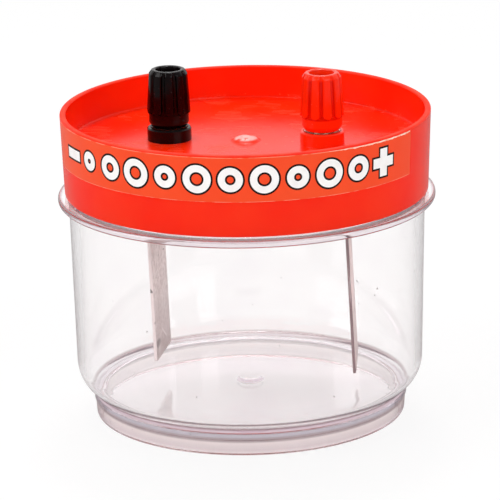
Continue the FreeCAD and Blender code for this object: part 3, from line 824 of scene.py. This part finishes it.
for side in (-1, 1):
    cut_hole(lid, (side * POST_ACROSS, 0, HOLE_MIDDLE), (0, 0, 1), HOLE_RADIUS, DRILL_LENGTH)
dresses(lid, "lid", "lid")

# %% [markdown]
# ## The fluted caps
# Each cap has ten petals with narrow grooves between them. The petals are fuller at the bottom,
# where they stand out past a plain collar, and their lower corners are rounded, which gives the
# scalloped edge. The radius is that of the core, plus the petal wherever the point is outside a
# groove.

# %% The cap's radius
PETALS = 10
CAP_HEIGHT = 15.7
LIP_HEIGHT = 1.2
LIP_RADIUS = 4.7
COLLAR_RADIUS = 5.45
RING_RADIUS = 4.45
MOUTH_RADIUS = 3.35
SEAT_RADIUS = 4.05
SEAT_END = 8.55
GROOVE_DEPTH = 0.7
GROOVE_HALF_WIDTH = 0.55
PETAL_CORNER = 1.1
SOFT_EDGE = 0.55
LEDGE = 0.22


def eased(value, low, high):
    share = min(max((value - low) / (high - low), 0.0), 1.0)
    return share * share * (3 - 2 * share)


def sloped(height, start, end, first, last):
    return first + (last - first) * (height - start) / (end - start)


def cap_radius(height, angle):
    if height < LIP_HEIGHT:
        return sloped(height, 0, LIP_HEIGHT, LIP_RADIUS, COLLAR_RADIUS)
    if height < COLLAR_HEIGHT:
        return COLLAR_RADIUS
    if height < SHOULDER_HEIGHT:
        petal = sloped(height, COLLAR_HEIGHT, SHOULDER_HEIGHT, SKIRT_RADIUS, SHOULDER_RADIUS)
        core = petal - GROOVE_DEPTH
    else:
        petal = sloped(height, SHOULDER_HEIGHT, CAP_HEIGHT, SHOULDER_RADIUS, RING_RADIUS)
        core = sloped(height, SHOULDER_HEIGHT, CAP_HEIGHT, SHOULDER_RADIUS - GROOVE_DEPTH, RING_RADIUS)
    step = 2 * math.pi / PETALS
    from_groove = abs((angle + step / 2) % step - step / 2) * petal
    half = GROOVE_HALF_WIDTH
    rise = COLLAR_HEIGHT + PETAL_CORNER - height
    if rise > 0:
        half += PETAL_CORNER - math.sqrt(PETAL_CORNER**2 - rise**2)
    inside = eased(from_groove, half - SOFT_EDGE / 2, half + SOFT_EDGE / 2)
    # A petal stands out by half at its very foot, and rounds off to its full depth over the ledge.
    ledge = math.sqrt(max(0.0, 1 - (1 - min((height - COLLAR_HEIGHT) / LEDGE, 1.0)) ** 2))
    return core + (petal - core) * inside * (0.55 + 0.45 * ledge)


print("widest at the skirt:", round(cap_radius(4.4, math.pi / PETALS), 2), "mm")
print("in a groove:", round(cap_radius(8, 0), 2), "mm")

# %% Build the two caps
POINTS_PER_PETAL = 28
CAP_CREASE = math.radians(38)


def cap_heights():
    heights = [0, 0.1, 0.6, LIP_HEIGHT - 0.1, LIP_HEIGHT + 0.1, 2.5, COLLAR_HEIGHT - 0.05]
    heights += [COLLAR_HEIGHT + 0.0005 + LEDGE * (step / 6) ** 2 for step in range(7)]
    heights += [COLLAR_HEIGHT + LEDGE + (PETAL_CORNER - LEDGE) * step / 8 for step in range(1, 9)]
    start = COLLAR_HEIGHT + PETAL_CORNER
    heights += [start + (SHOULDER_HEIGHT - 0.25 - start) * step / 16 for step in range(1, 17)]
    heights += [SHOULDER_HEIGHT - 0.08, SHOULDER_HEIGHT + 0.08, SHOULDER_HEIGHT + 0.4]
    heights += [CAP_HEIGHT - 0.25, CAP_HEIGHT - 0.1]
    return heights


CAP_INSIDE = (
    (CAP_HEIGHT, RING_RADIUS - 0.18),
    (CAP_HEIGHT, MOUTH_RADIUS + 0.3),
    (CAP_HEIGHT - 0.1, MOUTH_RADIUS + 0.1),
    (CAP_HEIGHT - 0.35, MOUTH_RADIUS),
    (SEAT_END + 3, MOUTH_RADIUS),
    (SEAT_END, MOUTH_RADIUS),
    (SEAT_END, SEAT_RADIUS),
    (4, SEAT_RADIUS),
    (0, SEAT_RADIUS),
)


def make_cap(colour, middle, turn_degrees):
    sides = PETALS * POINTS_PER_PETAL
    turn = math.radians(90 + turn_degrees)
    rows = []
    for height in cap_heights():
        rows.append(ring(
            CAP_BOTTOM + height, lambda angle: cap_radius(height, angle - turn), sides, middle
        ))
    for height, radius in CAP_INSIDE:
        rows.append(ring(CAP_BOTTOM + height, radius, sides, middle))
    cap = row_skin(f"{colour}_cap_moulding", rows, POST_OF[colour], CAP_CREASE)
    dresses(cap, f"{colour}_cap", f"{colour}_cap")


make_cap("black", -POST_ACROSS, 31.0)
make_cap("red", POST_ACROSS, 7.0)

# %% [markdown]
# ## The threaded studs
# The stud has a coarse thread above its shoulder, a finer one on the shank below, a socket for a
# plug down its middle and a cross hole for a bare wire. A thread is a ridge that climbs as it goes
# round, so its radius depends on the height less a share of the angle.

# %% Thread and stud
STUD_BOTTOM = 61.4
STUD_SHOULDER = 78.9
STUD_TOP = 92.75
SHANK_RADIUS = 2.0
STUD_RADIUS = 3.0
COARSE = 0.7
COARSE_DEPTH = 0.38
FINE = 0.5
FINE_DEPTH = 0.25
THREAD_END = 0.9
ROWS_PER_TURN = 8
STUD_SIDES = 48
STUD_CREASE = math.radians(50)
STUD_INSIDE = ((STUD_TOP, 2.35), (92.45, 2.05), (88.0, 2.05), (83.48, 2.05), (82.25, 0))
WIRE_HOLE_HEIGHT = 80.3
WIRE_HOLE_RADIUS = 1.0
WIRE_HOLE_SIDES = 32
WIRE_DRILL_LENGTH = 9


def thread_radius(full, pitch, depth, height, angle, start, end):
    """The ridge is a softened zigzag, and it fades out near both ends."""
    phase = ((height - STUD_BOTTOM) / pitch - angle / (2 * math.pi)) % 1.0
    ridge = eased(abs(2 * phase - 1), 0.12, 0.88)
    fade = eased(height, start, start + THREAD_END) * eased(height, end, end - THREAD_END)
    return full - depth * (1 - ridge) * fade


def climb(start, end, step):
    return [start + step * number for number in range(math.ceil((end - start) / step))]


def threaded(bottom, top, full, pitch, depth, start, end, middle):
    """The rows of one threaded length, from bottom to top. The thread itself runs from start to end."""
    rows = []
    for height in climb(bottom, top, pitch / ROWS_PER_TURN):
        rows.append(ring(
            height,
            lambda angle: thread_radius(full, pitch, depth, height, angle, start, end),
            STUD_SIDES,
            middle,
        ))
    return rows


def make_stud(colour, middle):
    rows = [ring(STUD_BOTTOM, radius, STUD_SIDES, middle) for radius in (0, SHANK_RADIUS - 0.3)]
    rows += threaded(
        STUD_BOTTOM + 0.3, STUD_SHOULDER - 0.05, SHANK_RADIUS, FINE, FINE_DEPTH,
        STUD_BOTTOM - THREAD_END, STUD_SHOULDER - 0.5, middle,
    )
    rows.append(ring(STUD_SHOULDER, SHANK_RADIUS, STUD_SIDES, middle))
    rows += threaded(
        STUD_SHOULDER, STUD_TOP - 0.3, STUD_RADIUS, COARSE, COARSE_DEPTH,
        STUD_SHOULDER + 0.2, STUD_TOP + THREAD_END, middle,
    )
    rows.append(ring(STUD_TOP, STUD_RADIUS - 0.35, STUD_SIDES, middle))
    rows += [ring(height, radius, STUD_SIDES, middle) for height, radius in STUD_INSIDE]
    stud = row_skin(f"{colour}_stud_turned", rows, NICKEL, STUD_CREASE)
    cut_hole(
        stud, (middle, 0, WIRE_HOLE_HEIGHT), (0, 1, 0),
        WIRE_HOLE_RADIUS, WIRE_DRILL_LENGTH, WIRE_HOLE_SIDES, STUD_CREASE,
    )
    dresses(stud, f"{colour}_stud", "lid")


make_stud("black", -POST_ACROSS)
make_stud("red", POST_ACROSS)

# %% [markdown]
# ## The print on the label
# The label carries generic marks: a minus sign on the black post's side, a plus sign on the red
# one's, and a row of bubbles between them, all white with a dark outline. Each mark is drawn flat,
# in millimetres along the strip and up it, cut into narrow upright strips so that it can bend, and
# then wrapped on the label's sloping surface.

# %% Wrap a flat drawing on the label
LID_SLOPE = 0.8 / 22.1
LABEL_FACE = 50.35
STRIP_STEP = 1.0
INK_THICKNESS = 0.012 * MM
KEYLINE_LIFT = 0.004
FILL_LIFT = 0.022


def on_label(along, up, lift):
    radius = LABEL_FACE - LID_SLOPE * (LABEL_HEIGHT - up) + lift
    angle = along / LABEL_FACE - math.pi / 2
    return Vector((radius * math.cos(angle), radius * math.sin(angle), LABEL_BOTTOM / MM + up)) * MM


def printed(name, loops, lift, coat):
    """A thin slab of ink. The first loop is the outline, and any others are holes in it."""
    drawing = bmesh.new()
    edges = []
    for loop in loops:
        corners = [drawing.verts.new((along, up, 0)) for along, up in loop]
        edges += [drawing.edges.new((corners[i - 1], corners[i])) for i in range(len(corners))]
    bmesh.ops.triangle_fill(drawing, use_beauty=True, edges=edges, normal=(0, 0, 1))
    reach = [point[0] for loop in loops for point in loop]
    cut = math.ceil(min(reach) / STRIP_STEP) * STRIP_STEP
    while cut < max(reach):
        everything = drawing.verts[:] + drawing.edges[:] + drawing.faces[:]
        bmesh.ops.bisect_plane(drawing, geom=everything, plane_co=(cut, 0, 0), plane_no=(1, 0, 0))
        cut += STRIP_STEP
    for vertex in drawing.verts:
        vertex.co = on_label(vertex.co.x, vertex.co.y, lift)
    everything = drawing.verts[:] + drawing.edges[:] + drawing.faces[:]
    slab = bmesh.ops.extrude_face_region(drawing, geom=everything, use_keep_orig=True)
    raised = [item for item in slab["geom"] if isinstance(item, bmesh.types.BMVert)]
    for vertex in raised:
        sideways = Vector((vertex.co.x, vertex.co.y, 0)).normalized()
        vertex.co += sideways * INK_THICKNESS
    bmesh.ops.recalc_face_normals(drawing, faces=drawing.faces)
    mesh = bpy.data.meshes.new(name)
    drawing.to_mesh(mesh)
    drawing.free()
    mesh.materials.append(coat)
    piece = bpy.data.objects.new(name, mesh)
    bpy.context.scene.collection.objects.link(piece)
    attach(piece, "lid")


middle_of_face = tuple(round(value / MM, 2) for value in on_label(0, LABEL_HEIGHT / 2, 0))
print("the middle of the label's face:", middle_of_face)

# %% Draw the marks
KEYLINE = 0.52
BAR_LENGTH = 7.6
BAR_WIDTH = 2.7
MARK_MIDDLE = 6.1
FIRST_MARK = -48.8
MARK_STEP = 8.9
BUBBLES = (2.6, 3.3, 3.8, 3.0, 3.8, 3.3, 3.8, 3.0, 3.8, 3.3)
STROKE = 1.9
CIRCLE_POINTS = 56


def circle(along, up, radius):
    steps = [2 * math.pi * step / CIRCLE_POINTS for step in range(CIRCLE_POINTS)]
    return [(along + radius * math.cos(angle), up + radius * math.sin(angle)) for angle in steps]


def bar(along, up, grown):
    half, thick = BAR_LENGTH / 2 + grown, BAR_WIDTH / 2 + grown
    corners = [(-half, -thick), (half, -thick), (half, thick), (-half, thick)]
    return [(along + x, up + y) for x, y in corners]


def plus(along, up, grown):
    half, thick = BAR_LENGTH / 2 + grown, BAR_WIDTH / 2 + grown
    corners = [(half, -thick), (half, thick), (thick, thick)]
    corners += [(thick, half), (-thick, half), (-thick, thick)]
    corners += [(-x, -y) for x, y in corners]
    return [(along + x, up + y) for x, y in corners]


def mark(name, outline):
    printed(name + "_outline", outline(KEYLINE), KEYLINE_LIFT, BLACK_INK)
    printed(name, outline(0.0), FILL_LIFT, WHITE_INK)


mark("print_minus", lambda grown: [bar(FIRST_MARK, MARK_MIDDLE, grown)])
for number, radius in enumerate(BUBBLES, start=1):
    spot = FIRST_MARK + MARK_STEP * number
    hole = radius - STROKE

    def bubble(grown, spot=spot, radius=radius, hole=hole):
        return [circle(spot, MARK_MIDDLE, radius + grown), circle(spot, MARK_MIDDLE, hole - grown)]

    mark(f"print_bubble_{number}", bubble)
last_mark = FIRST_MARK + MARK_STEP * (len(BUBBLES) + 1)
mark("print_plus", lambda grown: [plus(last_mark, MARK_MIDDLE, grown)])
print("marks:", len(BUBBLES) + 2)

# %% [markdown]
# ## The label's frayed edge
# Along the right part of its top the film has come away a little, and its pale back shows as an
# uneven sliver. Its width is a list of small random steps, always the same ones because the
# generator starts from a fixed seed.

# %% A pale sliver along the top
FRAY_START = 31.0
FRAY_END = 61.2
FRAY_STEP = 0.6
FRAY_TAPER = 12
chance = random.Random(7)
upper, lower = [], []
for number in range(int((FRAY_END - FRAY_START) / FRAY_STEP) + 1):
    along = FRAY_START + FRAY_STEP * number
    fullness = min(number, FRAY_TAPER) / FRAY_TAPER
    upper.append((along, LABEL_HEIGHT + 0.02 + 0.10 * fullness * chance.random()))
    lower.append((along, LABEL_HEIGHT - 0.04 - (0.12 + 0.30 * chance.random()) * fullness))
printed("label_frayed_edge", [lower + upper[::-1]], FILL_LIFT, FILM_BACK)
print("frayed for", FRAY_END - FRAY_START, "mm")

# %% [markdown]
# ## Floor and light
# The photograph is a cut-out on white. The floor and the world are white to the camera and to what
# the clear jar bends, while the lamps stay at a plain level, so that the red stays red. The floor
# still takes the jar's soft shadow, because only part of its brightness is its own.

# %% The floor
FLOOR_SIZE = 6.0
FLOOR_GLOW_SEEN = 0.86
FLOOR_GLOW_THROUGH = 0.55
FLOOR_DROP = 0.05 * MM
PAPER_LOW, PAPER_HIGH = srgb(244, 243, 243), srgb(248, 247, 247)
PAPER_MIRRORED = srgb(160, 157, 157)
WHITE = (1, 1, 1, 1)


def rays(tree):
    """1 where the ray comes from the camera, from a reflection, or through something clear."""
    seen, glossy, through = [
        Wire(tree).node("ShaderNodeLightPath", output=ray)
        for ray in ("Is Camera Ray", "Is Glossy Ray", "Is Transmission Ray")
    ]
    return seen, smallest(glossy, 1 - through), through


def pale_floor():
    material, tree = new_material("pale_floor")
    start = Wire(tree)
    shade = clouds(position(tree), 3.0).between(0.2, 0.8)
    seen, mirrored, through = rays(tree)
    pale = blended(mirrored, blended(shade, PAPER_LOW, PAPER_HIGH), PAPER_MIRRORED)
    paint = start.node("ShaderNodeBsdfDiffuse", {}, {"Color": pale})
    glow = start.node("ShaderNodeEmission", {}, {"Color": WHITE, "Strength": 1.0})
    share = largest(seen * FLOOR_GLOW_SEEN, through * FLOOR_GLOW_THROUGH)
    surface = start.node("ShaderNodeMixShader", {}, {0: share, 1: paint, 2: glow})
    start.node("ShaderNodeOutputMaterial", {}, {"Surface": surface}, output=None)
    return material


floor_mesh = bpy.data.meshes.new("floor")
half = FLOOR_SIZE / 2
floor_corners = [(-half, -half, 0), (half, -half, 0), (half, half, 0), (-half, half, 0)]
floor_mesh.from_pydata(floor_corners, [], [(0, 1, 2, 3)])
floor_mesh.materials.append(pale_floor())
floor = bpy.data.objects.new("floor", floor_mesh)
floor.location.z = -FLOOR_DROP
bpy.context.scene.collection.objects.link(floor)
print("floor", FLOOR_SIZE, "m")

# %% [markdown]
# The room behind the camera is dim, as in any studio, and the paper sweep behind the object is
# bright. Reflections show that difference: the front of the lid stays a deep red, and the tray's
# floor, seen at a low angle, takes the pale sheen of what is behind it. Direction here is the
# world's own, so it stays put when the camera moves.

# %% The world
ROOM_GLOSS = 0.28
SWEEP_GLOSS = 0.95
WORLD_FILL = 0.38
SWEEP_START, SWEEP_END = -0.05, 0.55
world = bpy.data.worlds.new("studio")
world.use_nodes = True
bpy.context.scene.world = world
tree = world.node_tree
tree.nodes.clear()
start = Wire(tree)
seen, mirrored, through = rays(tree)
direction = start.node("ShaderNodeTexCoord", output="Generated")
behind = start.node("ShaderNodeSeparateXYZ", {}, {"Vector": direction}, "Y")
sweep = behind.between(SWEEP_START, SWEEP_END)
gloss = sweep * (SWEEP_GLOSS - ROOM_GLOSS) + ROOM_GLOSS
white = largest(seen, through)
fill = (1 - largest(white, mirrored)) * WORLD_FILL
strength = largest(largest(white, mirrored * gloss), fill)
background = start.node("ShaderNodeBackground", {}, {"Color": WHITE, "Strength": strength})
start.node("ShaderNodeOutputWorld", {}, {"Surface": background}, output=None)
print("world fill", WORLD_FILL)

# %% [markdown]
# Two large lamps stand in front, at the left and the right, and a third hangs above and a little
# behind the object. A small one near it puts the sparks on the posts and the rim. Places and sizes
# are in millimetres.

# %% The lamps
LAMP_TARGET = Vector((0, 0, 50)) * MM


def lamp(name, spot, size, watts):
    light = bpy.data.lights.new(name, "AREA")
    light.shape = "RECTANGLE"
    light.size, light.size_y = size[0] * MM, size[1] * MM
    light.energy = watts
    thing = bpy.data.objects.new(name, light)
    bpy.context.scene.collection.objects.link(thing)
    thing.location = Vector(spot) * MM
    thing.rotation_euler = (LAMP_TARGET - thing.location).to_track_quat("-Z", "Y").to_euler()
    print(name, watts, "W")


lamp("lamp_left", (-900, -550, 750), (850, 900), 6.4)
lamp("lamp_right", (850, -650, 700), (850, 900), 5.4)
lamp("lamp_top", (-100, 350, 1150), (800, 600), 5.6)
lamp("lamp_spark", (-60, 450, 1090), (170, 130), 2.0)
